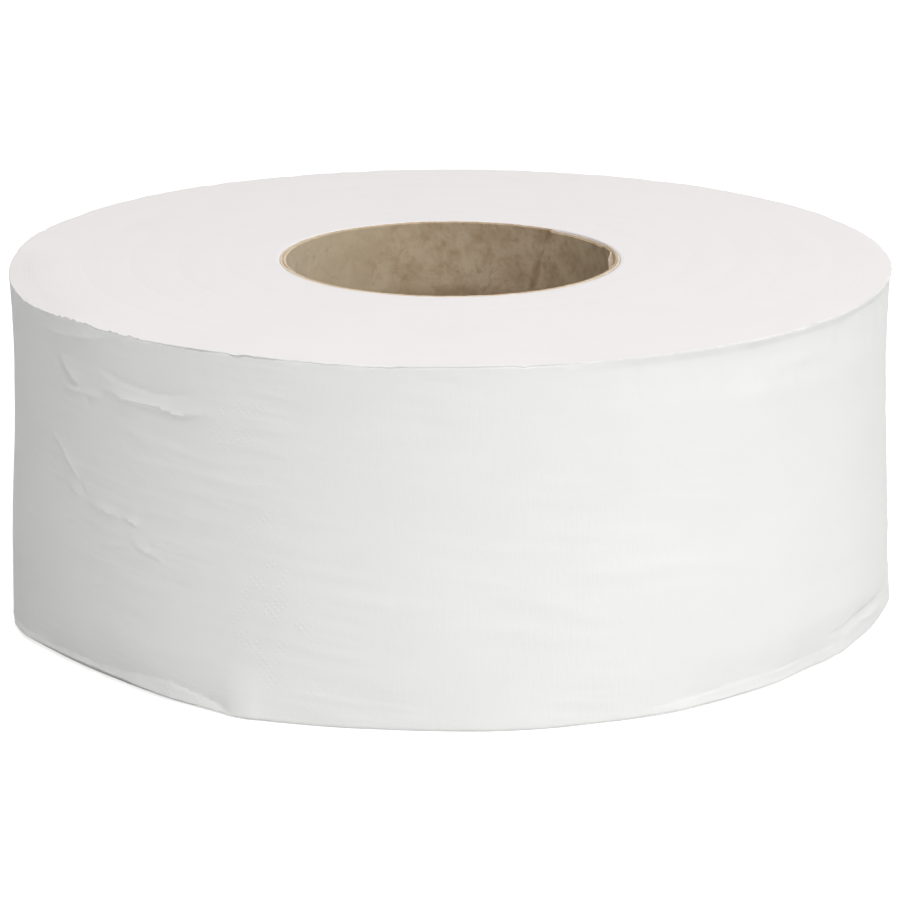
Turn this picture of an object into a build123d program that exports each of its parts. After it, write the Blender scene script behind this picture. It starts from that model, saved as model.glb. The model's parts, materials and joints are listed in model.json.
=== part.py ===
from build123d import *
from math import cos, pi, radians, sin, tan
import os

# A large roll of white toilet tissue, wound on a spiral-wound cardboard core and standing on its end.
# The origin is on the core's axis at the lower end face. +Z runs up the axis and -Y is the front.
# Lengths are in millimetres. Directions are degrees about +Z, counted from +X towards +Y.

# Wound tissue
roll_diameter = 228.0  # at the upper rim
roll_width = 89.0  # across the web, so the height as it stands
foot_spread = 1.3  # how far the foot spreads past the rim under the roll's weight
foot_round = 0.9  # radius of the pressed lower edge
foot_facets = 2  # flats that the pressed edge is made of
belly_height = 38.0  # up to here the wall stands out past the rim
belly_spread = 0.2  # how far it still stands out at that height
waist_draw = 0.7  # how far the wall draws in below the rim
waist_drop = 20.0  # from the upper end face down to the narrowest part of the wall
rim_bevel = 0.6  # crushed corner of the cut upper edge

# Loose end of the web, pressed down on the turn below it
sheet_thickness = 0.3
tail_direction = 112.0

# Turns that show on both end faces as a spiral line, where the web wandered as it was wound
line_pitch = 12.2
line_width = 1.0
line_depth = 0.35
core_margin = 2.4  # from the core to where the line starts
rim_margin = 5.5  # from the rim to where it may end

# Crescent hollows of the wall. Each is deepest in its own direction and fades out over its reach,
# in degrees to each side. This one lies under the lip, where outer turns have slipped at the right
lip_direction = -40.0
lip_reach = 40.0
lip_drop = 1.8  # from the upper end face down to the middle of the hollow
lip_hollow = 2.0  # height of the hollow where it is deepest
lip_depth = 0.8

# Tuck pressed into the wall at the left of the front, which slopes down to the right
tuck_direction = -131.0
tuck_reach = 11.0
tuck_drop = 13.0
tuck_hollow = 3.0
tuck_depth = 0.8
tuck_slope = 11.0  # degrees

# Fold that the roll's weight squeezes into the foot at the right
fold_direction = -21.0
fold_reach = 15.0
fold_height = 6.8
fold_hollow = 2.2
fold_depth = 0.9

# Toe at the right of the front, drawn in at the floor
toe_direction = -40.0
toe_reach = 24.0
toe_height = 0.6
toe_hollow = 2.4
toe_depth = 1.8

# Hem at the left of the front, lifted from the floor
hem_direction = -138.0
hem_reach = 24.0
hem_height = 0.8
hem_hollow = 2.4
hem_depth = 1.5

# Cardboard core, wound from plies of board
core_bore = 85.0
core_wall = 1.5
core_plies = 3
glue_film = 0.05  # between the core and the first turn of tissue

# Butt joint of the inner ply, which runs down the bore as a steep helix
seam_gap = 0.7
seam_lean = 20.0  # degrees from the axis
seam_direction = 51.0  # where it meets the upper rim

# Upper rim of the core, cut low beside the seam, with a piece of the inner ply torn out
low_cut = 0.5
low_cut_arc = 32.0  # degrees along the rim, back from the seam
torn_direction = -8.0
torn_length = 26.0  # along the rim
torn_height = 4.5

# Sizes that follow from the ones above
rim_radius = roll_diameter / 2
foot_radius = rim_radius + foot_spread
waist_radius = rim_radius - waist_draw
waist_height = roll_width - waist_drop
lip_height = roll_width - lip_drop
tuck_height = roll_width - tuck_drop
half_sheet = sheet_thickness / 2
bore_radius = core_bore / 2
core_radius = bore_radius + core_wall
ply_thickness = core_wall / core_plies
paper_bore_radius = core_radius + glue_film
line_start = paper_bore_radius + core_margin
half_turns = int((rim_radius - rim_margin - line_start) / (line_pitch / 2))
upright = Vector(0, 0, 1)


def outward(direction):
    """Unit vector that points out from the axis in a direction."""
    return Vector(cos(radians(direction)), sin(radians(direction)), 0)


def upright_plane(centre, direction):
    """Plane that stands on a point of the floor, with its X out in a direction and its Y up."""
    return Plane(origin=centre, x_dir=outward(direction), z_dir=outward(direction - 90))


# Spiral line of the upper end face. Each half turn is an arc about a centre of its own, and the
# centres step to and fro by half a pitch, so that one arc runs on into the next
with BuildPart() as turn_line:
    centre = Vector(0, 0, 0)
    for half_turn in range(half_turns):
        start = tail_direction + 180 * half_turn
        radius = line_start + half_turn * line_pitch / 2
        with BuildSketch(upright_plane(centre, start)):
            with BuildLine():
                Polyline(
                    (radius - line_width / 2, roll_width),
                    (radius, roll_width - line_depth),
                    (radius + line_width / 2, roll_width),
                    (radius, roll_width + line_depth),
                    close=True,
                )
            make_face()
        revolve(axis=Axis(centre, upright), revolution_arc=180)
        centre = centre + outward(start) * (line_pitch / 2)

# Each crescent hollow is part of a ring whose centre is moved back from the wall that it meets,
# and whose axis leans where the hollow slopes
with BuildPart() as hollows:
    for direction, reach, height, hollow, depth, slope, wall_radius in (
        (lip_direction, lip_reach, lip_height, lip_hollow, lip_depth, 0, rim_radius),
        (tuck_direction, tuck_reach, tuck_height, tuck_hollow, tuck_depth, tuck_slope, waist_radius),
        (fold_direction, fold_reach, fold_height, fold_hollow, fold_depth, 0, foot_radius),
        (toe_direction, toe_reach, toe_height, toe_hollow, toe_depth, 0, foot_radius),
        (hem_direction, hem_reach, hem_height, hem_hollow, hem_depth, 0, foot_radius),
    ):
        set_back = depth / (1 - cos(radians(reach)))
        centre = outward(direction) * -set_back + upright * height
        ring_axis = Axis(centre, upright.rotate(Axis((0, 0, 0), outward(direction)), -slope))
        start = outward(direction).rotate(Axis((0, 0, 0), ring_axis.direction), -reach)
        inner = wall_radius - depth + set_back
        outer = inner + depth + hollow
        with BuildSketch(Plane(origin=centre, x_dir=start, z_dir=start.cross(ring_axis.direction))):
            with BuildLine():
                Polyline(
                    (inner, 0),
                    (outer, -hollow / 2 - depth),
                    (outer, hollow / 2),
                    (inner, hollow / 2),
                    close=True,
                )
            make_face()
        revolve(axis=ring_axis, revolution_arc=2 * reach)

# Wound tissue. Its wall is two half turns of a spiral, so that it steps by one sheet at the tail
with BuildPart() as tissue_roll:
    for centre, inset, start in (
        (outward(tail_direction) * -half_sheet, half_sheet, tail_direction),
        (Vector(0, 0, 0), 0, tail_direction + 180),
    ):
        foot = foot_radius - inset
        rolled_edge = [
            (
                foot - foot_round * (1 - sin(facet * pi / 2 / foot_facets)),
                foot_round * (1 - cos(facet * pi / 2 / foot_facets)),
            )
            for facet in range(foot_facets + 1)
        ]
        belly = (rim_radius + belly_spread - inset, belly_height)
        waist = (waist_radius - inset, waist_height)
        rim = rim_radius - inset
        with BuildSketch(upright_plane(centre, start)):
            with BuildLine():
                Polyline((0, 0), *rolled_edge)
                lower_wall = TangentArc(rolled_edge[-1], belly, tangent=(0, 1))
                middle_wall = TangentArc(belly, waist, tangent=lower_wall % 1)
                upper_wall = TangentArc(waist, (rim, roll_width - rim_bevel), tangent=middle_wall % 1)
                Polyline(upper_wall @ 1, (rim - rim_bevel, roll_width), (0, roll_width), (0, 0))
            make_face()
        revolve(axis=Axis(centre, upright), revolution_arc=180)
    Hole(paper_bore_radius)
    add(hollows.part, mode=Mode.SUBTRACT)
    add(turn_line.part, mode=Mode.SUBTRACT)
    add(turn_line.part.mirror(Plane.XY.offset(roll_width / 2)), mode=Mode.SUBTRACT)
tissue_roll.part.label = "tissue_roll"

# Slot of the inner ply's butt joint, swept along its helix and past both rims
with BuildPart() as seam_slot:
    lead = 2 * pi * bore_radius / tan(radians(seam_lean))
    run = roll_width + 2 * seam_gap
    start_direction = outward(seam_direction + 360 * run / lead)
    helix_base = Plane(origin=(0, 0, -seam_gap), x_dir=start_direction, z_dir=upright)
    with BuildLine(helix_base):
        helix = Helix(pitch=lead, height=run, radius=bore_radius, lefthand=True)
    with BuildSketch(Plane(origin=helix @ 0, x_dir=start_direction, z_dir=helix % 0)):
        Rectangle(2 * ply_thickness, seam_gap)
    sweep(is_frenet=True)

# Ragged patch of the inner ply, bounded by the bore and the next ply
with BuildPart() as torn_patch:
    with BuildSketch(upright_plane((0, 0, roll_width), torn_direction + 90)):
        with BuildLine():
            Polyline(
                (-torn_length / 2, torn_height),
                (-torn_length / 2, -torn_height * 0.2),
                (-torn_length / 4, -torn_height * 0.7),
                (0, -torn_height * 0.55),
                (torn_length / 3, -torn_height),
                (torn_length / 2, -torn_height * 0.1),
                (torn_length / 2, torn_height),
                close=True,
            )
        make_face()
    extrude(amount=core_radius)
    with Locations((0, 0, roll_width)):
        Cylinder(bore_radius + ply_thickness, 3 * torn_height, mode=Mode.INTERSECT)
        Cylinder(bore_radius - ply_thickness, 3 * torn_height, mode=Mode.SUBTRACT)

with BuildPart() as cardboard_core:
    Cylinder(core_radius, roll_width, align=(Align.CENTER, Align.CENTER, Align.MIN))
    Hole(bore_radius)
    with BuildSketch(upright_plane((0, 0, roll_width), seam_direction - low_cut_arc)):
        with Locations((bore_radius + core_wall / 2, 0)):
            Rectangle(2 * core_wall, 2 * low_cut)
    revolve(axis=Axis.Z, revolution_arc=low_cut_arc, mode=Mode.SUBTRACT)
    add(seam_slot.part, mode=Mode.SUBTRACT)
    add(torn_patch.part, mode=Mode.SUBTRACT)
cardboard_core.part.label = "cardboard_core"

os.makedirs("parts", exist_ok=True)
export_step(tissue_roll.part, "parts/tissue_roll.step")
export_step(cardboard_core.part, "parts/cardboard_core.step")
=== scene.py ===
import json
import math
import random

import bmesh
import bpy
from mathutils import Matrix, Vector


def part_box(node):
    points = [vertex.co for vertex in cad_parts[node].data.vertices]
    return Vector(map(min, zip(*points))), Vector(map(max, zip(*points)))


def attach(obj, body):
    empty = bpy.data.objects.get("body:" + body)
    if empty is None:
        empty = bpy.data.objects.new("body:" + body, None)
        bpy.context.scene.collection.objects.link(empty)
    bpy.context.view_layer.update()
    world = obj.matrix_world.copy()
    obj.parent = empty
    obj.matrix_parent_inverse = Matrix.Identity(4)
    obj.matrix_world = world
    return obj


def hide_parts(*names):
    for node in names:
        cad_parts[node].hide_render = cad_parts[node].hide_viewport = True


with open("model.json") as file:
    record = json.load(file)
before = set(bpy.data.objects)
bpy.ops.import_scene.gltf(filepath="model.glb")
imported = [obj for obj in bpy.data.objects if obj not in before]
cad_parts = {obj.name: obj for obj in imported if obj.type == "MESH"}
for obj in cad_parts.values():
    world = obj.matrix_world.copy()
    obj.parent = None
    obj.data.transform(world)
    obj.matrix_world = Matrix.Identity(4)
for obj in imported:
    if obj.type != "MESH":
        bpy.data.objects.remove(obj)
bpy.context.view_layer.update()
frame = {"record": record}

# A large roll of white toilet tissue on a spiral-wound cardboard core, standing on its end.
# Lengths are in metres. Directions are degrees about +Z from +X, and the front is at -90.
MM = 0.001
FULL_TURN = 2 * math.pi
NUMBER = "NodeSocketFloat"
VECTOR = "NodeSocketVector"
GEOMETRY = "NodeSocketGeometry"
OBJECT = "NodeSocketObject"

# Sizes that the frame gives
tissue_low, tissue_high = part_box("tissue_roll")
core_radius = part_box("cardboard_core")[1].x
bore = next(mount for mount in frame["record"]["mounts"] if mount["name"] == "core_bore")
roll_height = tissue_high.z
foot_radius = (tissue_high.x - tissue_low.x) / 2
bore_radius = bore["dims"]["r_mm"] * MM
core_wall = core_radius - bore_radius

# Form of the roll's wall, as in its solid
foot_spread = 1.3 * MM
foot_round = 0.9 * MM
foot_reach = 12.0 * MM  # up to here above its round edge, the wall moves with the foot
foot_ease = 1.15  # power by which that movement fades out upwards
belly_height = 38.0 * MM
belly_spread = 0.2 * MM
waist_drop = 20.0 * MM
waist_draw = 0.7 * MM
rim_radius = foot_radius - foot_spread

# Winding of the web
sheet = 0.3 * MM
tail_direction = 112.0
glue_film = 0.05 * MM
paper_bore_radius = core_radius + glue_film
line_pitch = 12.2 * MM
line_width = 0.8 * MM
line_depth = 0.025 * MM
core_margin = 2.4 * MM
rim_margin = 5.5 * MM
line_start = paper_bore_radius + core_margin
line_turns = int((rim_radius - rim_margin - line_start) / line_pitch)

# Plies of the core
plies = 3
ply = core_wall / plies
seam_gap = 0.5 * MM
seam_lean = 20.0
seam_lead = FULL_TURN * bore_radius / math.tan(math.radians(seam_lean))
seam_direction = 51.0


class Value:
    """What a socket gives. Arithmetic on a number adds Math nodes to its tree."""

    def __init__(self, tree, socket):
        self.tree = tree
        self.socket = socket

    def __add__(self, other):
        return maths(self.tree, "ADD", self, other)

    def __radd__(self, other):
        return maths(self.tree, "ADD", other, self)

    def __sub__(self, other):
        return maths(self.tree, "SUBTRACT", self, other)

    def __rsub__(self, other):
        return maths(self.tree, "SUBTRACT", other, self)

    def __mul__(self, other):
        return maths(self.tree, "MULTIPLY", self, other)

    def __truediv__(self, other):
        return maths(self.tree, "DIVIDE", self, other)

    def __pow__(self, other):
        return maths(self.tree, "POWER", self, other)

    def __neg__(self):
        return self * -1.0


def fill(tree, node, values):
    """Gives a node's inputs their values. A value that another node gives is linked instead."""
    for name, value in values.items():
        if isinstance(value, Value):
            value = value.socket
        if isinstance(value, bpy.types.NodeSocket):
            tree.links.new(value, node.inputs[name])
        else:
            node.inputs[name].default_value = value
    return node


def place(tree, kind, values=None, **settings):
    """Adds a node of a kind, with its settings and its inputs' values by name or number."""
    node = tree.nodes.new(kind)
    for name, value in settings.items():
        setattr(node, name, value)
    return fill(tree, node, values or {})


def results(tree, kind, values=None, **settings):
    """Adds a node and returns all that it gives."""
    return [Value(tree, socket) for socket in place(tree, kind, values, **settings).outputs]


def result(tree, kind, values=None, **settings):
    """Adds a node and returns the first value that it gives."""
    return results(tree, kind, values, **settings)[0]


def grouped(tree, group, values):
    """Uses a node group and returns all that it gives."""
    return results(tree, group.bl_idname.replace("Tree", "Group"), values, node_tree=group)


def maths(tree, operation, *values, clamp=False):
    """Adds a Math node and returns its result."""
    return result(tree, "ShaderNodeMath", dict(enumerate(values)), operation=operation, use_clamp=clamp)


def vectors(tree, operation, *values):
    """Adds a Vector Math node and returns its vector."""
    return result(tree, "ShaderNodeVectorMath", dict(enumerate(values)), operation=operation)


def dot(tree, first, second):
    """Dot product of two vectors."""
    node = place(tree, "ShaderNodeVectorMath", {0: first, 1: second}, operation="DOT_PRODUCT")
    return Value(tree, node.outputs["Value"])


def point(tree, x, y, z):
    """Vector of three values or numbers."""
    return result(tree, "ShaderNodeCombineXYZ", {0: x, 1: y, 2: z})


def parts(tree, vector):
    """The three numbers of a vector."""
    return results(tree, "ShaderNodeSeparateXYZ", {0: vector})


def from_axis(tree, x, y):
    """Distance of a place from the roll's axis."""
    return maths(tree, "SQRT", x * x + y * y)


def out_from_axis(tree, way, radius, height):
    """Place at a radius along a level way out from the axis, and at a height."""
    out = vectors(tree, "MULTIPLY", way, point(tree, radius, radius, 0.0))
    return vectors(tree, "ADD", out, point(tree, 0.0, 0.0, height))


def fade(tree, value, start, end, low=0.0, high=1.0):
    """Eases from low, where value is at start, to high, where it is at end."""
    limits = {"Value": value, "From Min": start, "From Max": end, "To Min": low, "To Max": high}
    return result(tree, "ShaderNodeMapRange", limits, interpolation_type="SMOOTHSTEP")


def noise(tree, at, scale, detail, rough, seed):
    """Noise from 0 to 1 at a place, with a seed of its own."""
    sizes = {"Vector": at, "W": seed, "Scale": scale, "Detail": detail, "Roughness": rough}
    return result(tree, "ShaderNodeTexNoise", sizes, noise_dimensions="4D")


def blend_numbers(tree, share, first, second):
    """Number between two, by a share."""
    return result(tree, "ShaderNodeMix", {0: share, 2: first, 3: second}, data_type="FLOAT")


def attribute(tree, name):
    """Number stored on the points of a mesh, in a tree that builds geometry."""
    return result(tree, "GeometryNodeInputNamedAttribute", {"Name": name})


def painted(tree, name):
    """Number stored on the points of a mesh, in a material's tree."""
    return Value(tree, place(tree, "ShaderNodeAttribute", attribute_name=name).outputs["Fac"])


def new_group(name, kind, takes, gives):
    """Node group with named inputs and outputs. Returns it with what it takes and its output node."""
    group = bpy.data.node_groups.new(name, kind)
    for label, (socket_type, value) in takes.items():
        socket = group.interface.new_socket(label, in_out="INPUT", socket_type=socket_type)
        if value is not None:
            socket.default_value = value
    for label, socket_type in gives.items():
        group.interface.new_socket(label, in_out="OUTPUT", socket_type=socket_type)
    given = dict(zip(takes, results(group, "NodeGroupInput")))
    return group, given, place(group, "NodeGroupOutput")


def direction_vector(direction, radius=1.0, height=0.0):
    """Point at a direction and radius from the axis, at a height."""
    angle = math.radians(direction)
    return Vector((radius * math.cos(angle), radius * math.sin(angle), height))


def facing(tree, at, direction, radius=1.0):
    """How far a place at a radius lies in a direction: 1 there, 0 square to it and -1 behind."""
    return dot(tree, at, direction_vector(direction, 1 / radius))


def new_object(name, data):
    """Object in the scene with this data."""
    made = bpy.data.objects.new(name, data)
    bpy.context.scene.collection.objects.link(made)
    return made


def mark_points(mesh, name, values):
    """Stores a number for each point of a mesh."""
    mesh.attributes.new(name, "FLOAT", "POINT").data.foreach_set("value", values)


# Section of the wound roll


def station(radius, height, **shares):
    """Point of the section, with its shares in what the winding tree does to it."""
    return {"radius": radius, "height": height, **shares}


def foot_share(height):
    """Share of a height of the wall in what happens to the foot, which fades out upwards."""
    return max(0.0, 1 - (height - foot_round) / foot_reach) ** foot_ease


def wall_stations():
    """Stations down the wall, closest together at the rim, the foot and the fold above the foot.

    The wall is three parabolas, each of which leaves the one below it smoothly.
    """
    turning_points = [
        (foot_round, foot_radius),
        (belly_height, rim_radius + belly_spread),
        (roll_height - waist_drop, rim_radius - waist_draw),
        (roll_height, rim_radius),
    ]
    finest, coarsest, growth = 0.35 * MM, 1.05 * MM, 0.055
    fold_floor, fold_top, fold_step = 6 * MM, 9 * MM, 0.4 * MM
    rim_rows = 1.4 * MM
    stations = []
    slope = 0.0
    for (low, low_radius), (high, high_radius) in zip(turning_points, turning_points[1:]):
        run = high - low
        bend = (high_radius - low_radius - slope * run) / run**2
        at = low
        while at < min(high, roll_height - rim_rows):
            radius = low_radius + slope * (at - low) + bend * (at - low) ** 2
            stations.append(station(radius, at, wall=1, foot=foot_share(at)))
            edge = min(at, roll_height - at)
            folded = fold_floor < at < fold_top
            at += fold_step if folded else min(finest + growth * edge, coarsest)
        slope += 2 * bend * run
    return stations[::-1]


def end_stations(level, inward):
    """Stations of an end face from the core outwards."""
    soft = 0.5 * MM
    stations = [
        station(paper_bore_radius, level + inward * soft),
        station(paper_bore_radius + 0.15 * soft, level + inward * 0.3 * soft),
        station(paper_bore_radius + 0.6 * soft, level),
        station(line_start - core_margin / 2, level),
    ]
    for turn in range(-1, line_turns + 1):
        for share, groove in ((-0.5, 0), (0, inward * line_depth), (0.5, 0)):
            radius = line_start + turn * line_pitch + share * line_width
            stations.append(station(radius, level, wound=1, groove=groove))
    stations.append(station(line_start + line_turns * line_pitch + line_width, level))
    return stations


def roll_section():
    """Stations of the whole section, from the core out over the top, down the wall and back in below."""
    crack_top, crack_floor, crack_end = 0.06 * MM, 0.4 * MM, 0.6 * MM
    rim_land, foot_land = 1.2 * MM, 4 * MM
    flat_edge, edge_step = 0.3 * MM, 0.15 * MM
    rim = [
        station(rim_radius - rim_land, roll_height),
        station(rim_radius, roll_height, wall=1, rim_in=1, on_top=1),
        station(rim_radius, roll_height, wall=1, rim_down=1),
        station(rim_radius, roll_height - crack_top, wall=1, rim_down=1, crack=1),
        station(rim_radius, roll_height - crack_floor, wall=1, rim_down=1, crack=1),
        station(rim_radius, roll_height - crack_end, wall=1, rim_down=1),
    ]
    foot = []
    for angle in (math.pi / 6, math.pi / 3, math.pi / 2):
        radius = foot_radius - foot_round * (1 - math.cos(angle))
        foot.append(station(radius, foot_round * (1 - math.sin(angle)), wall=1, foot=1))
    inner_foot = foot_radius - foot_round - flat_edge
    foot += [
        station(inner_foot, 0.0, wall=1, foot=1, tucked=1),
        station(inner_foot - edge_step, 0.0, wall=1, foot=1, tucked=1, grounded=1),
        station(inner_foot - foot_land, 0.0),
    ]
    inside = [station(paper_bore_radius, roll_height * step / 5) for step in range(1, 5)]
    upper = end_stations(roll_height, -1)
    lower = end_stations(0.0, 1)[::-1]
    stations = upper + rim + wall_stations() + foot + lower + inside
    return stations + stations[:1]


section_shares = (
    "wound", "groove", "wall", "on_top", "crack", "rim_in", "rim_down", "foot", "tucked", "grounded",
)


def section_object():
    """Points of the section, with what the winding tree needs to know about each."""
    stations = roll_section()
    mesh = bpy.data.meshes.new("section")
    mesh.from_pydata([(at["radius"], 0, at["height"]) for at in stations], [], [])
    for name in section_shares:
        mark_points(mesh, name, [at.get(name, 0) for at in stations])
    return new_object("tissue_roll_section", mesh)


# Creases of the wall, each a path of (degrees right of the front, height) with the most that it rises.
# A fold rises softly from above to a sharp lip and drops off below it, a ridge is the same on both
# sides, and a furrow sinks into the wall
folds = [
    (
        [
            (-48.1, 73.6), (-45.4, 73.3), (-41.5, 73.0), (-38.3, 73.1),
            (-36.0, 72.2), (-34.3, 71.9), (-30.9, 73.0),
        ],
        0.95,
    ),
    ([(-57.7, 78.7), (-56.7, 77.4), (-55.2, 75.5), (-53.8, 73.8), (-52.6, 73.0)], 0.8),
    ([(-60.1, 57.3), (-57.9, 56.0), (-56.8, 54.2), (-55.8, 52.4), (-54.6, 50.6), (-53.3, 48.5)], 0.6),
    ([(-56.0, 46.9), (-54.8, 45.7), (-53.8, 45.2), (-52.6, 44.7)], 0.5),
    ([(-53.0, 49.4), (-51.9, 47.6), (-51.0, 45.7)], 0.4),
    ([(-50.0, 43.6), (-48.3, 43.6), (-47.0, 43.2), (-44.7, 42.9)], 0.7),
    ([(-44.5, 43.2), (-43.2, 43.0), (-42.3, 42.3), (-41.4, 41.9)], 0.6),
    ([(-48.9, 34.9), (-46.5, 35.2), (-44.6, 35.6), (-42.4, 36.5)], 0.35),
    ([(-42.1, 36.5), (-40.5, 36.3), (-39.3, 35.7), (-38.2, 35.5), (-37.1, 34.3)], 0.5),
    ([(-73.0, 31.2), (-68.5, 32.9), (-65.1, 33.2), (-63.3, 32.6)], 0.4),
    ([(-59.3, 37.8), (-57.6, 37.9)], 0.3),
    ([(-56.2, 38.1), (-54.7, 37.8), (-53.5, 37.6)], 0.3),
    ([(-50.5, 23.7), (-48.7, 24.5), (-47.1, 24.8)], 0.3),
    ([(-63.0, 84.2), (-58.7, 84.3), (-56.0, 84.6), (-52.1, 85.5), (-48.5, 86.1), (-45.2, 87.6)], 0.75),
]
ridges = [
    ([(-57.4, 71.8), (-55.3, 71.4), (-53.6, 71.8), (-50.7, 71.9), (-49.2, 71.8), (-47.6, 72.1)], 0.9),
    ([(-49.8, 32.5), (-48.4, 32.4), (-47.0, 32.5)], 0.3),
    ([(-49.9, 69.9), (-48.2, 70.6)], 0.3),
    ([(-52.6, 72.0), (-51.9, 68.0)], 0.35),
    ([(80.0, 3.0), (73.0, 4.4), (66.0, 5.6), (59.0, 6.4)], 0.35),
    ([(76.3, 84.5), (70.0, 87.0), (65.0, 88.0)], 0.4),
]
furrows = [
    ([(-50.5, 80.7), (-46.1, 77.6), (-41.8, 76.5), (-37.8, 75.9), (-35.3, 76.9), (-32.3, 77.8)], 0.55),
    ([(-42.0, 71.6), (-38.7, 71.9), (-36.2, 71.0), (-34.3, 70.6), (-32.0, 71.6)], 0.5),
    ([(-58.9, 77.6), (-57.6, 75.7), (-56.0, 73.9), (-54.3, 72.7)], 0.5),
    ([(-51.6, 71.9), (-51.3, 70.3), (-51.2, 67.8)], 0.5),
    ([(-64.2, 87.3), (-60.9, 87.7), (-59.4, 86.8)], 0.6),
    ([(-57.0, 84.3), (-55.5, 83.7), (-54.3, 82.4)], 0.4),
    ([(-53.7, 48.8), (-52.6, 47.5), (-51.7, 46.1)], 0.4),
    ([(-39.3, 37.5), (-37.8, 37.6)], 0.3),
    ([(-42.5, 50.8), (-39.8, 51.6)], 0.25),
    ([(-44.6, 17.0), (-43.1, 17.1)], 0.25),
    ([(45.0, 87.3), (49.5, 87.6), (54.0, 87.7)], 0.4),
    ([(60.0, 87.6), (66.1, 87.1), (72.7, 86.1), (78.0, 85.6)], 0.4),
    ([(76.0, 7.0), (70.5, 8.0), (66.2, 7.7), (63.1, 8.5), (59.9, 7.8)], 0.9),
]


def crease_object(name, paths):
    """Smooth curves along the wall, with the height of each crease as the radius of its points.

    A crease is low at both ends, or only at its second one if it has but two points.
    """
    end_share = 0.15
    curve = bpy.data.curves.new(name, "CURVE")
    curve.dimensions = "3D"
    for path, rise in paths:
        spline = curve.splines.new("NURBS")
        spline.points.add(len(path) - 1)
        for index, (right, height) in enumerate(path):
            at = direction_vector(right - 90, rim_radius, height * MM)
            spline.points[index].co = (*at, 1)
            full = index not in (0, len(path) - 1) or len(path) == 2 and index == 0
            spline.points[index].radius = rise * MM * (1.0 if full else end_share)
        spline.order_u = 3
        spline.use_endpoint_u = True
    return new_object(name, curve)


def crease_group():
    """Height that creases add to the wall at a place: sharp along each path, and fading out beside it."""
    tree, takes, gives = new_group(
        "crease",
        "GeometryNodeTree",
        {
            "Paths": (OBJECT, None),
            "Width Above": (NUMBER, 1.0 * MM),
            "Width Below": (NUMBER, 1.0 * MM),
            "At": (VECTOR, None),
            "Up": (VECTOR, None),
        },
        {"Rise": NUMBER},
    )
    at = takes["At"]
    curves = place(tree, "GeometryNodeObjectInfo", {"Object": takes["Paths"]}).outputs["Geometry"]
    even = result(tree, "GeometryNodeResampleCurve", {"Curve": curves, "Length": 0.5 * MM}, mode="LENGTH")
    known = {"Geometry": even, "Name": "rise", "Value": result(tree, "GeometryNodeInputRadius")}
    stored = result(tree, "GeometryNodeStoreNamedAttribute", known, data_type="FLOAT")
    thread = result(tree, "GeometryNodeCurveToMesh", {"Curve": stored})
    near = place(tree, "GeometryNodeProximity", {0: thread, "Sample Position": at}, target_element="EDGES")
    thread_place = {"Geometry": thread, "Sample Position": at}
    nearest = result(tree, "GeometryNodeSampleNearest", thread_place, domain="POINT")
    thread_value = {"Geometry": thread, "Value": attribute(tree, "rise"), "Index": nearest}
    rise = result(tree, "GeometryNodeSampleIndex", thread_value)
    beyond = dot(tree, vectors(tree, "SUBTRACT", at, near.outputs["Position"]), takes["Up"])
    above = maths(tree, "GREATER_THAN", beyond, 0.0)
    width = blend_numbers(tree, above, takes["Width Below"], takes["Width Above"])
    share = maths(tree, "DIVIDE", near.outputs["Distance"], width)
    fill(tree, gives, {"Rise": rise * maths(tree, "EXPONENT", -share)})
    return tree


# Crescent hollows under the lip and in the foot
hollow_sizes = ("Direction", "Reach", "Top", "Ceiling", "Return", "Depth")
hollows = [
    (-40.0, 40.0, roll_height - 0.1 * MM, 2.2 * MM, 14.0 * MM, 1.0 * MM),
    (-21.0, 15.0, 8.1 * MM, 0.4 * MM, 2.6 * MM, 0.8 * MM),
]


def hollow_group():
    """Crescent hollow of the wall, deepest in its direction, that eases back below its deepest level."""
    tree, takes, gives = new_group(
        "crescent_hollow",
        "GeometryNodeTree",
        {**{name: (NUMBER, 0.0) for name in hollow_sizes}, "At": (VECTOR, None)},
        {"Drop": NUMBER},
    )
    x, y, height = parts(tree, takes["At"])
    direction = maths(tree, "RADIANS", takes["Direction"])
    along = x * maths(tree, "COSINE", direction) + y * maths(tree, "SINE", direction)
    cosine = along / from_axis(tree, x, y)
    edge = maths(tree, "COSINE", maths(tree, "RADIANS", takes["Reach"]))
    fullness = result(tree, "ShaderNodeMapRange", {"Value": cosine, "From Min": edge, "From Max": 1.0})
    deepest = takes["Top"] - takes["Ceiling"]
    ceiling = fade(tree, height, takes["Top"], deepest)
    floor = fade(tree, height, deepest - takes["Return"], deepest)
    fill(tree, gives, {"Drop": ceiling * floor * fullness * takes["Depth"]})
    return tree


# Where the crack below the rim gapes: direction, reach and share
rim_cracks = [(-101.0, 32.0, 1.0), (-125.0, 20.0, 0.6), (90.0, 120.0, 0.5)]

# Where the end face droops towards the rim: direction, reach and amount
rim_droops = [(-166.0, 24.0, 1.3 * MM)]
droop_width = 9.0 * MM

# Foot round the front, by degrees right of the front: how far it stands out past an even foot, how
# high its lower edge is lifted and how tall the hem above that edge is, in millimetres
most_over_front = 6.0
foot_line = [
    (-90, 0.0), (-82, 0.1), (-76, 1.1), (-72, 1.6), (-69, 1.6), (-65, 0.75), (-60, -0.35), (-55, -1.1),
    (-50, -1.55), (-46, -1.75), (-42, -1.65), (-37, -1.1), (-32, -0.6), (-28, 0.6), (-25, 1.9), (-23, 1.3),
    (-18, 0.6), (-14, 0.3), (-6, -0.6), (0, -0.3), (6, 0.1), (12, 0.0), (18, -0.5), (22, -0.3),
    (26, -0.3), (32, -0.9), (39, -1.5), (44, -1.6), (49, -2.3), (53, -2.6), (55, -2.1), (58, -1.9),
    (60, -1.5), (64, -1.7), (67, -1.5), (72, -1.1), (77, -0.75), (80, -0.2), (84, 0.6), (90, 0.5),
]
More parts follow.
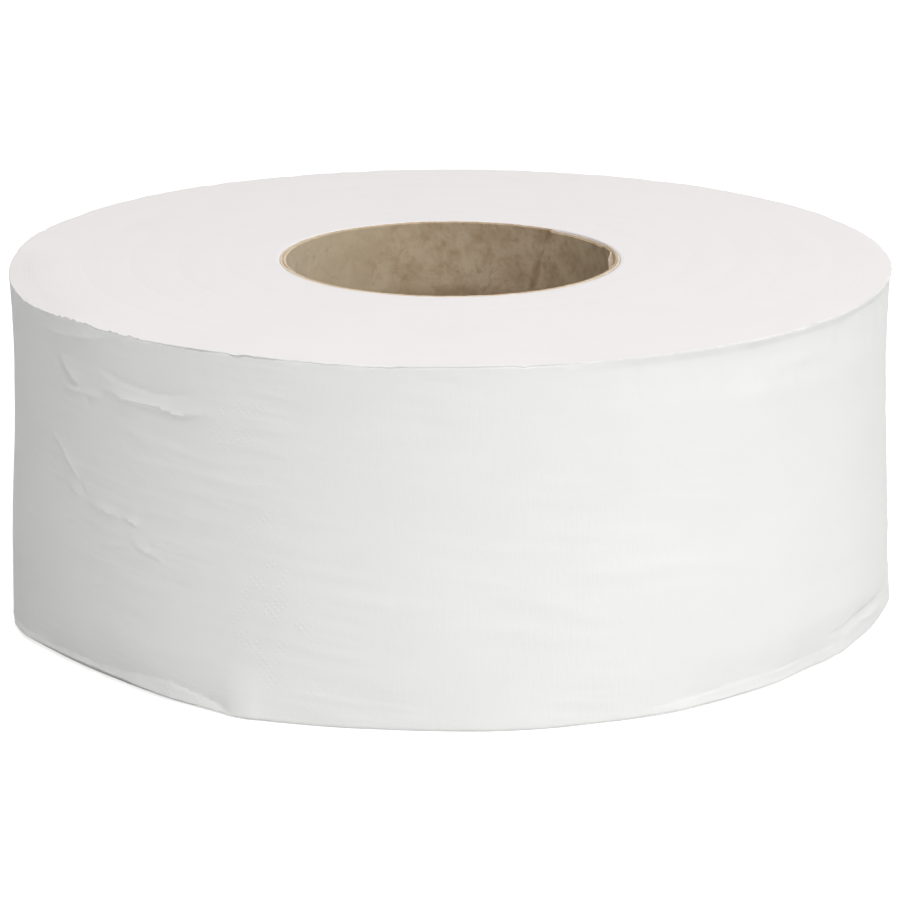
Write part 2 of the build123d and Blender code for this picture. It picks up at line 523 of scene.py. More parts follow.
foot_lift = [
    (-90, 0.0), (-76, 0.0), (-72, 0.45), (-69, 0.65), (-65, 1.0), (-60, 1.3), (-55, 1.55), (-50, 1.65),
    (-46, 1.55), (-42, 1.25), (-37, 0.85), (-32, 0.55), (-28, 0.3), (-25, 0.05), (-22, 0.0), (21, 0.0),
    (26, 0.3), (32, 0.5), (39, 0.6), (49, 0.6), (55, 0.4), (60, 0.6), (65, 0.7), (72, 0.7),
    (78, 0.5), (82, 0.2), (86, 0.0), (90, 0.0),
]
hem_line = [
    (-90, 1.4), (-65, 1.4), (-56, 1.2), (-50, 1.5), (-43, 2.8), (-37, 3.6), (-33, 3.0), (-29, 1.5),
    (-26, 0.7), (-22, 0.6), (20, 1.0), (26, 2.0), (32, 2.6), (39, 3.2), (50, 3.0), (56, 3.2),
    (60, 4.6), (65, 5.2), (72, 4.8), (78, 3.4), (84, 1.8), (90, 1.0),
]

# Columns of the winding from the tail onwards: share of them used up, and degrees reached.
# They lie closest at the left of the front, where the creases are
column_zones = [(0.117, 78.0), (0.472, 138.0), (0.826, 243.0), (1.0, 360.0)]


def line_over_front(tree, right, points):
    """Amount in metres that follows a smooth line through points of (degrees, millimetres)."""
    along = result(tree, "ShaderNodeMapRange", {"Value": right, "From Min": -90.0, "From Max": 90.0})
    line = place(tree, "ShaderNodeFloatCurve", {"Value": along})
    curve = line.mapping.curves[0]
    for index, (degrees, amount) in enumerate(points):
        at = (0.5 + degrees / 180, 0.5 + amount / (2 * most_over_front))
        if index < 2:
            curve.points[index].location = at
        else:
            curve.points.new(*at)
    for curve_point in curve.points:
        curve_point.handle_type = "AUTO_CLAMPED"
    line.mapping.update()
    return (Value(tree, line.outputs[0]) - 0.5) * (2 * most_over_front * MM)


def winding_tree():
    """Winds the section round the axis as a web is wound."""
    tree, takes, gives = new_group(
        "wind_tissue",
        "GeometryNodeTree",
        {
            "Section": (GEOMETRY, None),
            "Columns": ("NodeSocketInt", 420),
            "Tail Direction": (NUMBER, tail_direction),
            "Sheet": (NUMBER, sheet),
            "Line Pitch": (NUMBER, line_pitch),
            "Inner Land": (NUMBER, line_start - core_margin / 2),
            "Outer Land": (NUMBER, line_start + line_turns * line_pitch + line_width),
            "Rim Wander": (NUMBER, 1.2 * MM),
            "Rim Fray": (NUMBER, 0.5 * MM),
            "Rim Bevel": (NUMBER, 0.35 * MM),
            "Rim Crack": (NUMBER, 0.35 * MM),
            "Hem Rag": (NUMBER, 2.4 * MM),
            "Hem Lip": (NUMBER, 0.15 * MM),
            "Hem Slope": (NUMBER, 1.1 * MM),
            "Hem Crease": (NUMBER, 0.18 * MM),
            "Undercut": (NUMBER, 0.75),
            "Seed": (NUMBER, 7.0),
        },
        {"Geometry": GEOMETRY},
    )
    size = place(tree, "GeometryNodeAttributeDomainSize", {"Geometry": takes["Section"]}, component="MESH")
    rows = size.outputs["Point Count"]
    grid = place(tree, "GeometryNodeMeshGrid", {"Vertices X": takes["Columns"] + 2, "Vertices Y": rows})
    index = result(tree, "GeometryNodeInputIndex")
    row, column = (
        result(tree, "FunctionNodeIntegerMath", {0: index, 1: rows}, operation=operation)
        for operation in ("MODULO", "DIVIDE_FLOOR")
    )

    def of_row(value, data_type="FLOAT"):
        """Value of the section's point that this row of the grid stands for."""
        at_row = {"Geometry": takes["Section"], "Value": value, "Index": row}
        return result(tree, "GeometryNodeSampleIndex", at_row, data_type=data_type)

    radius, _, height = parts(tree, of_row(result(tree, "GeometryNodeInputPosition"), "FLOAT_VECTOR"))
    wound, groove, wall, on_top, crack, rim_in, rim_down, foot, tucked, grounded = (
        of_row(attribute(tree, name)) for name in section_shares
    )

    # Angle round the axis from the tail. The last two columns stand at the tail again
    share = maths(tree, "MINIMUM", column / takes["Columns"], 1.0)
    swept, used, reached = 0.0, 0.0, 0.0
    for share_end, degrees in column_zones:
        most = math.radians(degrees - reached)
        ramp = {"Value": share, "From Min": used, "From Max": share_end, "To Max": most}
        swept = swept + result(tree, "ShaderNodeMapRange", ramp)
        used, reached = share_end, degrees
    angle = swept + maths(tree, "RADIANS", takes["Tail Direction"])
    cosine = maths(tree, "COSINE", angle)
    sine = maths(tree, "SINE", angle)
    way = point(tree, cosine, sine, 0.0)

    # Rows of the end faces follow the spiral: its second half turn has its centre half a pitch out
    inner_land, outer_land, easing = takes["Inner Land"], takes["Outer Land"], 1.5 * MM
    second_half = maths(tree, "GREATER_THAN", swept, math.pi)
    shift = takes["Line Pitch"] * 0.5 * second_half * wound
    reach = radius + shift
    aside = shift * maths(tree, "SINE", swept)
    chord = maths(tree, "SQRT", reach * reach - aside * aside)
    spiral = chord + shift * maths(tree, "COSINE", swept)
    held = maths(tree, "MINIMUM", maths(tree, "MAXIMUM", spiral, inner_land), outer_land)
    radius = blend_numbers(tree, wound, spiral, held)
    open_in = fade(tree, radius, inner_land, inner_land + easing)
    open_out = fade(tree, radius, outer_land, outer_land - easing)
    groove = groove * (open_in * open_out)

    # Step of one sheet at the tail
    last = maths(tree, "GREATER_THAN", column, takes["Columns"] + 0.5)
    growth = swept / FULL_TURN * (1.0 - last)
    rise = takes["Sheet"] * (growth - 1.0)
    level = height / roll_height

    # Crescent hollows, deeper in some places than in others
    on_wall = out_from_axis(tree, way, radius, height)
    uneven = fade(tree, noise(tree, way, 9.0, 2.0, 0.6, 4.0), 0.3, 0.7, 0.35, 1.3)
    crescent_hollow = hollow_group()
    for hollow in hollows:
        sizes = {**dict(zip(hollow_sizes, hollow)), "At": on_wall}
        rise = rise - grouped(tree, crescent_hollow, sizes)[0] * uneven

    def crescents(places):
        """Sum of the amounts of some places round the roll, each full in its direction."""
        return sum(
            fade(tree, facing(tree, way, direction), math.cos(math.radians(arc)), 1.0, 0.0, amount)
            for direction, arc, amount in places
        )

    # Foot: it spreads or is drawn in, and its lower edge is lifted off the floor at both sides of the front
    right = maths(tree, "DEGREES", maths(tree, "ARCTAN2", cosine, -sine))
    lifted = line_over_front(tree, right, foot_lift)
    spread = line_over_front(tree, right, foot_line) * foot
    undercut = takes["Undercut"] * fade(tree, right, -68.0, -40.0, 0.8, 1.0)
    rise = rise + (spread - lifted * undercut * tucked)
    height = height + lifted * (foot * (1.0 - grounded))

    # Hem above the lifted edge: it stands out below an uneven line, and the wall sinks to it from above
    lip_edge, full_lift, crease_reach = 0.25 * MM, 0.5 * MM, 1.4 * MM
    hemmed = fade(tree, lifted, 0.0, full_lift)
    ragged = (noise(tree, way, 18.0, 3.0, 0.6, takes["Seed"]) - 0.5) * takes["Hem Rag"]
    hem_height = line_over_front(tree, right, hem_line)
    over = height - (lifted + (hem_height + ragged))
    lip = fade(tree, over, lip_edge, -lip_edge) * takes["Hem Lip"]
    down = maths(tree, "DIVIDE", -over, hem_height, clamp=True)
    down = down ** fade(tree, right, 0.0, 30.0, 1.0, 1.8)
    steep = fade(tree, right, -62.0, -44.0, 0.5, 1.0) * fade(tree, right, 0.0, 30.0, 1.0, 0.5)
    lip = lip + down * (takes["Hem Slope"] * steep)
    fall = maths(tree, "EXPONENT", maths(tree, "MAXIMUM", over, 0.0) / -crease_reach)
    crease = maths(tree, "GREATER_THAN", over, 0.0) * takes["Hem Crease"]
    rise = rise + (lip - crease * fall) * hemmed

    # Rim: bevelled in places, with a crack below it where the outermost turns stand off from the rest
    bevel_run = 2.5
    bevel = fade(tree, noise(tree, way, 19.0, 2.0, 0.6, 15.0), 0.52, 0.66, 0.05, 1.0) * takes["Rim Bevel"]
    rise = rise - bevel * bevel_run * rim_in
    height = height - bevel * rim_down
    parted = fade(tree, noise(tree, way, 14.0, 3.0, 0.6, 12.0), 0.3, 0.6)
    rise = rise - crack * (parted * crescents(rim_cracks) * takes["Rim Crack"])
    radius = radius + rise * wall

    # The end face wanders a little and droops at the left, and the rim is frayed
    high_share = level**6.0
    rim_share = level**40.0
    lift = (noise(tree, way, 3.1, 1.0, 0.5, 3.0) - 0.5) * takes["Rim Wander"] * high_share
    frayed = (noise(tree, way, 45.0, 2.0, 0.6, 13.0) - 0.5) * takes["Rim Fray"] * wall
    lift = lift + frayed * rim_share
    height = height + groove + lift * fade(tree, radius, paper_bore_radius, rim_radius)
    near_rim = high_share * fade(tree, radius, rim_radius - droop_width, rim_radius)
    height = height - crescents(rim_droops) * near_rim

    wall_mark = {"Geometry": grid.outputs["Mesh"], "Name": "wall", "Value": wall - on_top}
    marked = result(tree, "GeometryNodeStoreNamedAttribute", wall_mark, data_type="FLOAT")
    final_place = out_from_axis(tree, way, radius, height)
    shaped = result(tree, "GeometryNodeSetPosition", {"Geometry": marked, "Position": final_place})
    closed = result(tree, "GeometryNodeMergeByDistance", {"Geometry": shaped, "Distance": 0.01 * MM})
    fill(tree, gives, {"Geometry": result(tree, "GeometryNodeRealizeInstances", {"Geometry": closed})})
    return tree


def leaning_noise(tree, arc, height, lean, length, width, seed):
    """Noise drawn out along lines that go down to the right by a number of degrees."""
    cosine = math.cos(math.radians(lean))
    sine = math.sin(math.radians(lean))
    along = arc * cosine - height * sine
    across = arc * sine + height * cosine
    return noise(tree, point(tree, along / length, across / width, 0.0), 1.0, 1.5, 0.5, seed)


def crumple_tree():
    """Moves the wall's points in and out for its creases, wrinkles and long streaks."""
    tree, takes, gives = new_group(
        "crumple_wall",
        "GeometryNodeTree",
        {
            "Roll": (GEOMETRY, None),
            "Folds": (OBJECT, None),
            "Ridges": (OBJECT, None),
            "Furrows": (OBJECT, None),
            "Fold Width": (NUMBER, 1.7 * MM),
            "Lip Width": (NUMBER, 0.3 * MM),
            "Ridge Width": (NUMBER, 0.5 * MM),
            "Furrow Width": (NUMBER, 1.0 * MM),
            "Wrinkle": (NUMBER, 0.16 * MM),
            "Fine Wrinkle": (NUMBER, 0.06 * MM),
            "Ripple": (NUMBER, 0.5 * MM),
            "Streak": (NUMBER, 0.7 * MM),
            "Scallop": (NUMBER, 1.9 * MM),
            "Seed": (NUMBER, 21.0),
            "Finish": ("NodeSocketMaterial", None),
        },
        {"Geometry": GEOMETRY},
    )
    here = result(tree, "GeometryNodeInputPosition")
    x, y, height = parts(tree, here)
    way = vectors(tree, "NORMALIZE", point(tree, x, y, 0.0))
    way_x, way_y, _ = parts(tree, way)
    right = maths(tree, "ARCTAN2", x, -y)
    degrees = maths(tree, "DEGREES", right)
    arc = right * rim_radius

    # Creases. Their upper side is above them and to their right
    smooth_place = out_from_axis(tree, way, rim_radius, height)
    to_right, to_above = 0.45, 0.9
    above = point(tree, way_y * -to_right, way_x * to_right, to_above)
    crease = crease_group()
    rises = []
    for paths, width_above, width_below in (
        ("Folds", "Fold Width", "Lip Width"),
        ("Ridges", "Ridge Width", "Ridge Width"),
        ("Furrows", "Furrow Width", "Furrow Width"),
    ):
        sizes = {
            "Paths": takes[paths],
            "Width Above": takes[width_above],
            "Width Below": takes[width_below],
            "At": smooth_place,
            "Up": above,
        }
        rises.append(grouped(tree, crease, sizes)[0])
    rise = rises[0] + rises[1] - rises[2]

    # Wrinkles at the left of the front, sharp along their tops
    sharpness = 7.0
    zone = fade(tree, degrees, -90.0, -72.0) * fade(tree, degrees, -26.0, -50.0)
    zone = zone * fade(tree, height, 10 * MM, 34 * MM)
    zone = zone * fade(tree, noise(tree, here, 45.0, 2.0, 0.5, takes["Seed"]), 0.47, 0.66)
    for size, lean, length, width, seed in (
        ("Wrinkle", 20.0, 22 * MM, 6.5 * MM, 31.0),
        ("Fine Wrinkle", 26.0, 10 * MM, 2.6 * MM, 32.0),
    ):
        cloud = leaning_noise(tree, arc, height, lean, length, width, seed)
        away = maths(tree, "ABSOLUTE", cloud - 0.5)
        fold = maths(tree, "SUBTRACT", 1.0, away * sharpness, clamp=True)
        rise = rise + fold * (zone * takes[size])

    # Shallow waves all round, and long streaks that run down to the right
    wave_scale, streak_scale, streak_slope = (9.0, 9.0, 32.0), (38.0, 38.0, 300.0), 0.09
    stretched = vectors(tree, "MULTIPLY", here, wave_scale)
    wave = noise(tree, stretched, 1.0, 3.0, 0.55, takes["Seed"]) - 0.5
    rise = rise + wave * takes["Ripple"]
    drawn = vectors(tree, "MULTIPLY", point(tree, x, y, height + x * streak_slope), streak_scale)
    streak = noise(tree, drawn, 1.0, 1.5, 0.5, takes["Seed"]) - 0.5
    some = fade(tree, noise(tree, here, 30.0, 2.0, 0.5, 14.0), 0.4, 0.62, 0.2, 1.0)
    rise = rise + streak * some * takes["Streak"]

    # Scallops that stand up along the rim at the left
    cloud = noise(tree, here, 470.0, 1.0, 0.5, 22.0) - 0.5
    left = fade(tree, degrees, -84.0, -70.0) * fade(tree, degrees, -36.0, -44.0, 0.15, 1.0)
    left = left * fade(tree, height, roll_height - 0.9 * MM, roll_height - 0.2 * MM)
    scallop = cloud * left * takes["Scallop"]

    wall = attribute(tree, "wall")
    offset = out_from_axis(tree, way, rise * wall, scallop * wall)
    shaped = result(tree, "GeometryNodeSetPosition", {"Geometry": takes["Roll"], "Offset": offset})
    real = result(tree, "GeometryNodeRealizeInstances", {"Geometry": shaped})
    finished = result(tree, "GeometryNodeSetMaterial", {"Geometry": real, "Material": takes["Finish"]})
    fill(tree, gives, {"Geometry": finished})
    return tree


def run_tree(target, tree, values):
    """Runs a tree on an object and returns the plain mesh that comes out."""
    modifier = target.modifiers.new(tree.name, "NODES")
    modifier.node_group = tree
    for item in tree.interface.items_tree:
        if item.item_type == "SOCKET" and item.in_out == "INPUT" and item.name in values:
            modifier[item.identifier] = values[item.name]
    bpy.context.view_layer.update()
    depsgraph = bpy.context.evaluated_depsgraph_get()
    mesh = bpy.data.meshes.new_from_object(target.evaluated_get(depsgraph))
    target.modifiers.remove(modifier)
    return mesh


def refine_creased(mesh):
    """Halves the faces at the left of the front, where the sharpest creases are."""
    first, last, lowest = -78, -20, 28 * MM
    work = bmesh.new()
    work.from_mesh(mesh)
    wall = work.verts.layers.float["wall"]

    def creased(corner):
        right = math.degrees(math.atan2(corner.co.x, -corner.co.y))
        return corner[wall] > 0.99 and first < right < last and corner.co.z > lowest

    faces = [face for face in work.faces if all(creased(corner) for corner in face.verts)]
    edges = {edge for face in faces for edge in face.edges}
    bmesh.ops.subdivide_edges(work, edges=list(edges), cuts=1, use_grid_fill=True)
    work.to_mesh(mesh)
    work.free()


def tidy_mesh(mesh, sharp_degrees):
    """Turns the faces outwards and shades them smooth up to an angle."""
    work = bmesh.new()
    work.from_mesh(mesh)
    bmesh.ops.dissolve_degenerate(work, dist=0.001 * MM, edges=work.edges)
    bmesh.ops.recalc_face_normals(work, faces=work.faces)
    if work.calc_volume(signed=True) < 0:
        bmesh.ops.reverse_faces(work, faces=work.faces)
    work.to_mesh(mesh)
    work.free()
    mesh.shade_smooth()
    mesh.set_sharp_from_angle(angle=math.radians(sharp_degrees))
    return mesh


def show(name, mesh, finish, node):
    """Puts a finished mesh in the scene in place of a node of the frame."""
    piece = new_object(name, mesh)
    mesh.materials.clear()
    mesh.materials.append(finish)
    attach(piece, "root")
    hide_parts(node)


def build_tissue(finish):
    """The wound roll: end faces with the turns' spiral line, creased wall, hem at the foot and tail."""
    section = section_object()
    wound = new_object("wound_roll", run_tree(section, winding_tree(), {}))
    refine_creased(wound.data)
    creases = {"Folds": folds, "Ridges": ridges, "Furrows": furrows}
    paths = {name: crease_object("paths_of_" + name.lower(), lines) for name, lines in creases.items()}
    mesh = run_tree(wound, crumple_tree(), {**paths, "Finish": finish})
    mesh.name = "wound_tissue"
    for helper in (section, wound, *paths.values()):
        bpy.data.objects.remove(helper)
    show("wound_tissue", tidy_mesh(mesh, 36), finish, "tissue_roll")


# Cardboard core

low_cut = 0.5 * MM
low_cut_arc = 32
torn_direction = -8.0

# Lower edge of the torn patch: degrees from its middle, and depth below the rim in millimetres
torn_outline = [
    (-18.0, 0.0), (-17.5, 0.9), (-8.8, 3.15), (0.0, 2.5), (11.7, 4.5), (17.5, 0.45), (18.0, 0.0),
]
torn_ragged = 0.35


def tear_depth(direction, rng):
    """How far the inner ply is torn away below the rim in a direction."""
    away = direction - torn_direction
    if abs(away) >= torn_outline[-1][0]:
        return 0.0
    for (left, shallow), (right, deep) in zip(torn_outline, torn_outline[1:]):
        if left <= away <= right:
            depth = shallow + (deep - shallow) * (away - left) / (right - left)
            return max(0.0, depth + rng.uniform(-torn_ragged, torn_ragged)) * MM
    return 0.0


def core_column(direction, slot, rng):
    """Rows of the core's section in one direction: radius, height, share of torn board and of cut edge.

    The torn edge of the inner ply has come away from the next ply and curls in a little.
    """
    outer_steps, inner_steps = 12, 11
    furring = 0.05  # millimetres
    nick, full_tear, most_curl = 0.12 * MM, 1.5 * MM, 0.8 * MM
    slot_floor, bared = bore_radius + 0.2 * ply, bore_radius + 0.7 * ply
    low = low_cut if (seam_direction - direction) % 360 < low_cut_arc else 0.0
    top = roll_height - low + rng.uniform(-furring, furring) * MM
    torn = tear_depth(direction if direction < 180 else direction - 360, rng)
    away = min(torn / full_tear, 1.0)
    rows = [(core_radius, (top - nick) * step / outer_steps, 0, 0) for step in range(outer_steps + 1)]
    for boundary in (2, 1):
        edge = bore_radius + boundary * ply
        rows += [(edge + nick, top, 0, 1), (edge, top - nick, 0, 0), (edge - nick, top, 0, 1)]
    deep = slot_floor if slot else bore_radius
    mark = 1 if torn else 0
    curl = most_curl * away
    start = top - torn - nick
    rows += [
        (bared, top - nick * away, mark, 1),
        (bared, top - torn * 0.5 - nick, mark, 0.5),
        (bared, start + 0.3 * MM * away, mark, 0),
        (bared + 0.7 * ply * away, start, mark, 0.6 * mark),
        (deep - curl + 0.25 * MM * away, start - 0.1 * MM, mark, 0.6 * mark),
        (deep - curl, start - 0.2 * MM, mark, 0),
        (deep - 0.6 * curl, start - 1.0 * MM, 0, 0),
    ]
    for step in range(1, inner_steps + 1):
        rows.append((deep, (start - 1.5 * MM) * (1 - step / inner_steps), 0, 0))
    return rows


def build_core(finish):
    """The core: three plies, the inner one with its joint down the bore and a torn patch at the rim."""
    rng = random.Random(11)
    columns = 360
    joint_reach = 3.4  # degrees
    half_gap = math.degrees(seam_gap / 2 / bore_radius)
    spots = [(half_gap + (360 - 2 * half_gap) * step / columns, False) for step in range(columns + 1)]
    spots += [(360 - half_gap, True), (360 + half_gap, True)]
    sections = [core_column((seam_direction + away) % 360, slot, rng) for away, slot in spots]
    corners = []
    marks = []
    for (away, _), section in zip(spots, sections):
        beside = math.exp(-((min(away, 360 - away) / joint_reach) ** 2))
        for radius, height, torn, cut_edge in section:
            turn = 360 * (roll_height - height) / seam_lead
            corners.append(direction_vector(seam_direction + away + turn, radius, height))
            marks.append((torn, cut_edge, beside))
    faces = []
    count, rows = len(spots), len(sections[0])
    for column in range(count):
        here = column * rows
        there = (column + 1) % count * rows
        for row in range(rows):
            after = (row + 1) % rows
            faces.append((here + row, there + row, there + after, here + after))
    mesh = bpy.data.meshes.new("board_core")
    mesh.from_pydata(corners, [], faces)
    for name, values in zip(("torn", "cut_edge", "joint"), zip(*marks)):
        mark_points(mesh, name, values)
    show("board_core", tidy_mesh(mesh, 30), finish, "cardboard_core")


# Finishes


def around_axis_group():
    """Share of a turn, radius and height of a place, for patterns that run round the roll."""
    tree, takes, gives = new_group(
        "around_axis",
        "ShaderNodeTree",
        {"Place": (VECTOR, None)},
        {"Turn": NUMBER, "Radius": NUMBER, "Height": NUMBER},
    )
    x, y, z = parts(tree, takes["Place"])
    turn = maths(tree, "ARCTAN2", y, x) / FULL_TURN
    fill(tree, gives, {"Turn": turn, "Radius": from_axis(tree, x, y), "Height": z})
    return tree


def fibre_group():
    """Soft height and mottling of paper fibre, for tissue and for board."""
    tree, takes, gives = new_group(
        "paper_fibre",
        "ShaderNodeTree",
        {"Place": (VECTOR, None), "Fibre Scale": (NUMBER, 900.0), "Cloud Scale": (NUMBER, 60.0)},
        {"Fibre": NUMBER, "Cloud": NUMBER},
    )
    fibre = noise(tree, takes["Place"], takes["Fibre Scale"], 4.0, 0.6, 1.0)
    cloud = noise(tree, takes["Place"], takes["Cloud Scale"], 3.0, 0.5, 2.0)
    fill(tree, gives, {"Fibre": fibre, "Cloud": cloud})
    return tree


def colour_mix(tree, share, first, second):
    """Colour between two, by a share."""
    node = place(tree, "ShaderNodeMix", data_type="RGBA")
    return fill(tree, node, {0: share, 6: first, 7: second}).outputs[2]


def new_material(name, roughness, sheen):
    """Material with a Principled BSDF. Returns it with its tree, the shader and the place on the piece."""
    material = bpy.data.materials.new(name)
    material.use_nodes = True
    tree = material.node_tree
    shader = tree.nodes["Principled BSDF"]
    fill(tree, shader, {"Roughness": roughness, "Sheen Weight": sheen, "Specular IOR Level": 0.25})
    return material, tree, shader, place(tree, "ShaderNodeTexCoord").outputs["Object"]


def tissue_finish(around, fibre):
    """White tissue: rows of small embossed dots and fine crepe on the wall, cut turns on the ends."""
    material, tree, shader, spot = new_material("white_tissue", 0.95, 0.1)
    turn, radius, height = grouped(tree, around, {"Place": spot})
    fibres, cloud = grouped(tree, fibre, {"Place": spot, "Fibre Scale": 700.0, "Cloud Scale": 45.0})
    wall = painted(tree, "wall")

    # Embossed dots in diagonal rows, a whole number of them round the roll. They stand clearest in a
    # band at the left of the front, and in patches
    dots_round = 360
    dot_pitch = FULL_TURN * rim_radius / dots_round
    band_direction = -117.0
    most_astray = 8.0
    astray = noise(tree, spot, 240.0, 1.0, 0.5, 19.0) * most_astray
    across = maths(tree, "COSINE", turn * (FULL_TURN * dots_round) + astray)
    along = maths(tree, "COSINE", height * (FULL_TURN / dot_pitch) - astray)
    dots = fade(tree, across * along, 0.1, 0.95)
    pressed = fade(tree, noise(tree, spot, 230.0, 1.0, 0.5, 16.0), 0.48, 0.6)
    patches = fade(tree, noise(tree, spot, 42.0, 3.0, 0.6, 5.0), 0.46, 0.6)
    band = fade(tree, facing(tree, spot, band_direction, rim_radius), 0.983, 0.996, 0.1, 1.0)
    dots = dots * (pressed * patches * band)

    # Crepe runs across the web, so up the wall
    crepe_place = point(tree, turn * 900.0, height * 160.0, radius)
    wall_relief = dots + noise(tree, crepe_place, 1.0, 2.0, 0.5, 6.0) * 0.5

    # Edges of the turns, cut through on the end faces
    ring_place = point(tree, radius * 1500.0, turn * 8.0, 0.0)
    rings = noise(tree, ring_place, 1.0, 3.0, 0.6, 8.0)
    relief = blend_numbers(tree, wall, rings, wall_relief) + fibres * 0.6
    bump = result(tree, "ShaderNodeBump", {"Strength": 0.5, "Distance": 0.12 * MM, "Height": relief})

    wall_colour = (0.837, 0.843, 0.828, 1)
    end_colour = (0.848, 0.812, 0.812, 1)
    cloud_colour = (0.80, 0.795, 0.775, 1)
    plain = colour_mix(tree, wall, end_colour, wall_colour)
    colour = colour_mix(tree, fade(tree, cloud, 0.3, 0.7, 0.0, 0.35), plain, cloud_colour)
    fill(tree, shader, {"Base Color": colour, "Normal": bump})
    return material


def board_finish(around, fibre):
    """Kraft board: mottled brown, with painted shade at the back, low down in the bore and towards the
    right, stained along the joint, and pale where it is cut or torn.
    """
    material, tree, shader, spot = new_material("kraft_board", 0.9, 0.05)
    _, radius, height = grouped(tree, around, {"Place": spot})
    fibres, _ = grouped(tree, fibre, {"Place": spot, "Fibre Scale": 420.0, "Cloud Scale": 120.0})
    board_colour, right_shade_colour = (0.67, 0.575, 0.415, 1), (0.51, 0.40, 0.27, 1)
    mottle_colour, fleck_colour = (0.77, 0.665, 0.49, 1), (0.36, 0.25, 0.155, 1)
    shade_and_stain_colour, torn_colour = (0.29, 0.195, 0.115, 1), (0.86, 0.73, 0.59, 1)
    outer_edge_colour, inner_edge_colour = (0.83, 0.785, 0.73, 1), (0.68, 0.555, 0.40, 1)
    brown_line_colour = (0.46, 0.275, 0.15, 1)

    # Mottled board with scuffs, and painted shade towards the right that darkens it and gives it more dark
    # scuffs
    most_warp = 14 * MM
    warp = noise(tree, spot, 60.0, 2.0, 0.5, 17.0) * most_warp
    bent = vectors(tree, "ADD", spot, point(tree, warp, 0.0, warp * -0.7))
    mottle = fade(tree, noise(tree, bent, 140.0, 4.0, 0.65, 18.0), 0.33, 0.65)
    # Painted shade: the board is darker towards the right of the bore
    right_shade = fade(tree, parts(tree, spot)[0], -34 * MM, 2 * MM)
    right_shaded_board = colour_mix(tree, right_shade, board_colour, right_shade_colour)
    tint = colour_mix(tree, mottle, right_shaded_board, mottle_colour)
    scuffs_and_shade = fade(tree, noise(tree, bent, 260.0, 3.0, 0.65, 20.0), 0.52, 0.7)
    scuffs_and_shade = scuffs_and_shade * blend_numbers(tree, right_shade, 0.1, 0.6)
    flecks = fade(tree, fibres, 0.5, 0.75, 0.0, 0.35)
    flecked = colour_mix(tree, maths(tree, "MAXIMUM", flecks, scuffs_and_shade), tint, fleck_colour)

    # Painted shade, strongest at the back and low down in the bore, and a stain along the joint, all in one
    # dark brown
    shade_direction = 80.0
    back = fade(tree, facing(tree, spot, shade_direction, bore_radius), -0.45, 0.9, 0.0, 0.45)
    low = fade(tree, height, 79 * MM, 66 * MM, 0.0, 0.85)
    smear = fade(tree, noise(tree, spot, 150.0, 2.0, 0.6, 23.0), 0.35, 0.62, 0.2, 0.85)
    shade_and_joint_stain = maths(tree, "MAXIMUM", maths(tree, "MAXIMUM", back, low), painted(tree, "joint") * smear)
    shaded_and_stained = colour_mix(tree, shade_and_joint_stain, flecked, shade_and_stain_colour)

    # Cut edge: pale and furred outside, darker tan inside, with a patchy brown line part way across it
    pale = colour_mix(tree, painted(tree, "torn"), shaded_and_stained, torn_colour)
    brown_line_radius = bore_radius + 0.55 * core_wall
    inner = fade(tree, radius, brown_line_radius + 0.15 * MM, brown_line_radius - 0.15 * MM)
    edge_tint = colour_mix(tree, inner, outer_edge_colour, inner_edge_colour)
    patchy = fade(tree, noise(tree, spot, 70.0, 3.0, 0.6, 9.0), 0.35, 0.6, 0.3, 0.95)
    beside = maths(tree, "ABSOLUTE", radius - brown_line_radius)
    brown_line = fade(tree, beside, 0.42 * MM, 0.12 * MM) * patchy
    edge_tint = colour_mix(tree, brown_line, edge_tint, brown_line_colour)
    edged = colour_mix(tree, painted(tree, "cut_edge"), pale, edge_tint)
    bump = result(tree, "ShaderNodeBump", {"Strength": 0.7, "Distance": 0.2 * MM, "Height": fibres})
    fill(tree, shader, {"Base Color": edged, "Normal": bump})
    return material


# Studio


def seen_directly(tree):
    """1 for rays from the camera, and those that gloss or glass sends on, or else 0."""
    rays = place(tree, "ShaderNodeLightPath").outputs
    gloss = maths(tree, "MAXIMUM", rays["Is Glossy Ray"], rays["Is Transmission Ray"])
    return maths(tree, "MAXIMUM", rays["Is Camera Ray"], gloss)


def build_world():
    """White surroundings, dimmer as light than they look."""
    world = bpy.data.worlds.new("studio")
    bpy.context.scene.world = world
    world.use_nodes = True
    tree = world.node_tree
    ambient = 0.25
    strength = blend_numbers(tree, seen_directly(tree), ambient, 1.0)
    fill(tree, tree.nodes["Background"], {"Color": (1, 1, 1, 1), "Strength": strength})


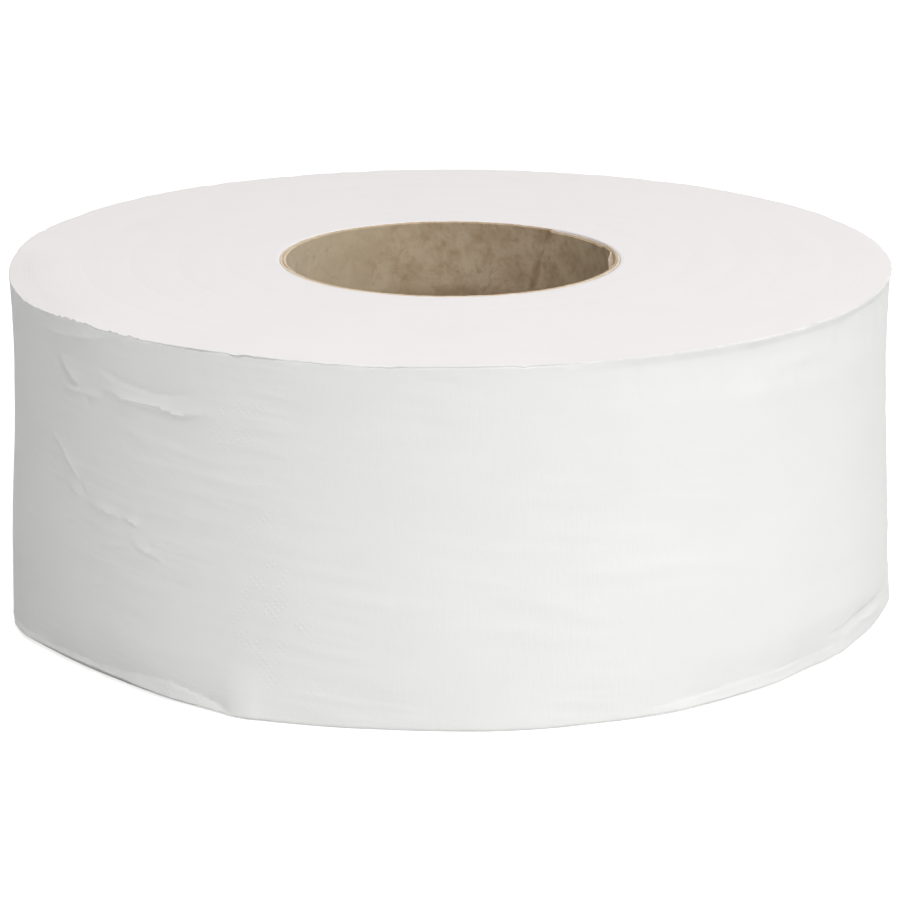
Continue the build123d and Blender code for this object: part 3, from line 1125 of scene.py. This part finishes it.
def build_floor():
    """White floor that looks as bright as the surroundings and still takes the roll's shadow."""
    half = 3.0
    glow_strength = 0.6
    mesh = bpy.data.meshes.new("floor")
    corners = [(-half, -half, 0), (half, -half, 0), (half, half, 0), (-half, half, 0)]
    mesh.from_pydata(corners, [], [(0, 1, 2, 3)])
    floor = new_object("floor", mesh)
    material = bpy.data.materials.new("white_floor")
    material.use_nodes = True
    tree = material.node_tree
    tree.nodes.remove(tree.nodes["Principled BSDF"])
    matt = result(tree, "ShaderNodeBsdfDiffuse", {"Color": (0.8, 0.8, 0.8, 1)})
    strength = seen_directly(tree) * glow_strength
    glow = result(tree, "ShaderNodeEmission", {"Color": (1, 1, 1, 1), "Strength": strength})
    both = result(tree, "ShaderNodeAddShader", {0: matt, 1: glow})
    fill(tree, tree.nodes["Material Output"], {"Surface": both})
    mesh.materials.append(material)


# Each lamp's direction, elevation, size and power
lamp_distance = 1.6
lamps = {
    "right_lamp": (-20, 45, 1.4, 7.3),
    "front_lamp": (-75, 30, 1.2, 7.9),
    "high_lamp": (-75, 70, 1.2, 11.2),
    "left_lamp": (-160, 10, 1.4, 1.0),
    "back_lamp": (90, 15, 1.2, 7.0),
}


def build_lamp(name, direction, elevation, size, power):
    """Soft square lamp that faces the middle of the roll."""
    aim = Vector((0, 0, roll_height / 2))
    flat = lamp_distance * math.cos(math.radians(elevation))
    at = direction_vector(direction, flat, lamp_distance * math.sin(math.radians(elevation)))
    light = bpy.data.lights.new(name, "AREA")
    light.size = size
    light.energy = power
    lamp = new_object(name, light)
    lamp.location = at
    lamp.rotation_euler = (aim - at).to_track_quat("-Z", "Y").to_euler()


def build_camera():
    """Camera in front of the roll and a little above it."""
    tilt = 74.282
    view = bpy.data.cameras.new("camera")
    view.sensor_width = 36.0
    view.lens = 155.2
    camera = new_object("camera", view)
    camera.location = (0, -0.9808, 0.3132)
    camera.rotation_euler = (math.radians(tilt), 0, 0)
    bpy.context.scene.camera = camera


bpy.context.scene.view_settings.view_transform = "Standard"
around_axis = around_axis_group()
paper_fibre = fibre_group()
build_tissue(tissue_finish(around_axis, paper_fibre))
build_core(board_finish(around_axis, paper_fibre))
build_world()
build_floor()
for lamp_name, lamp_sizes in lamps.items():
    build_lamp(lamp_name, *lamp_sizes)
build_camera()
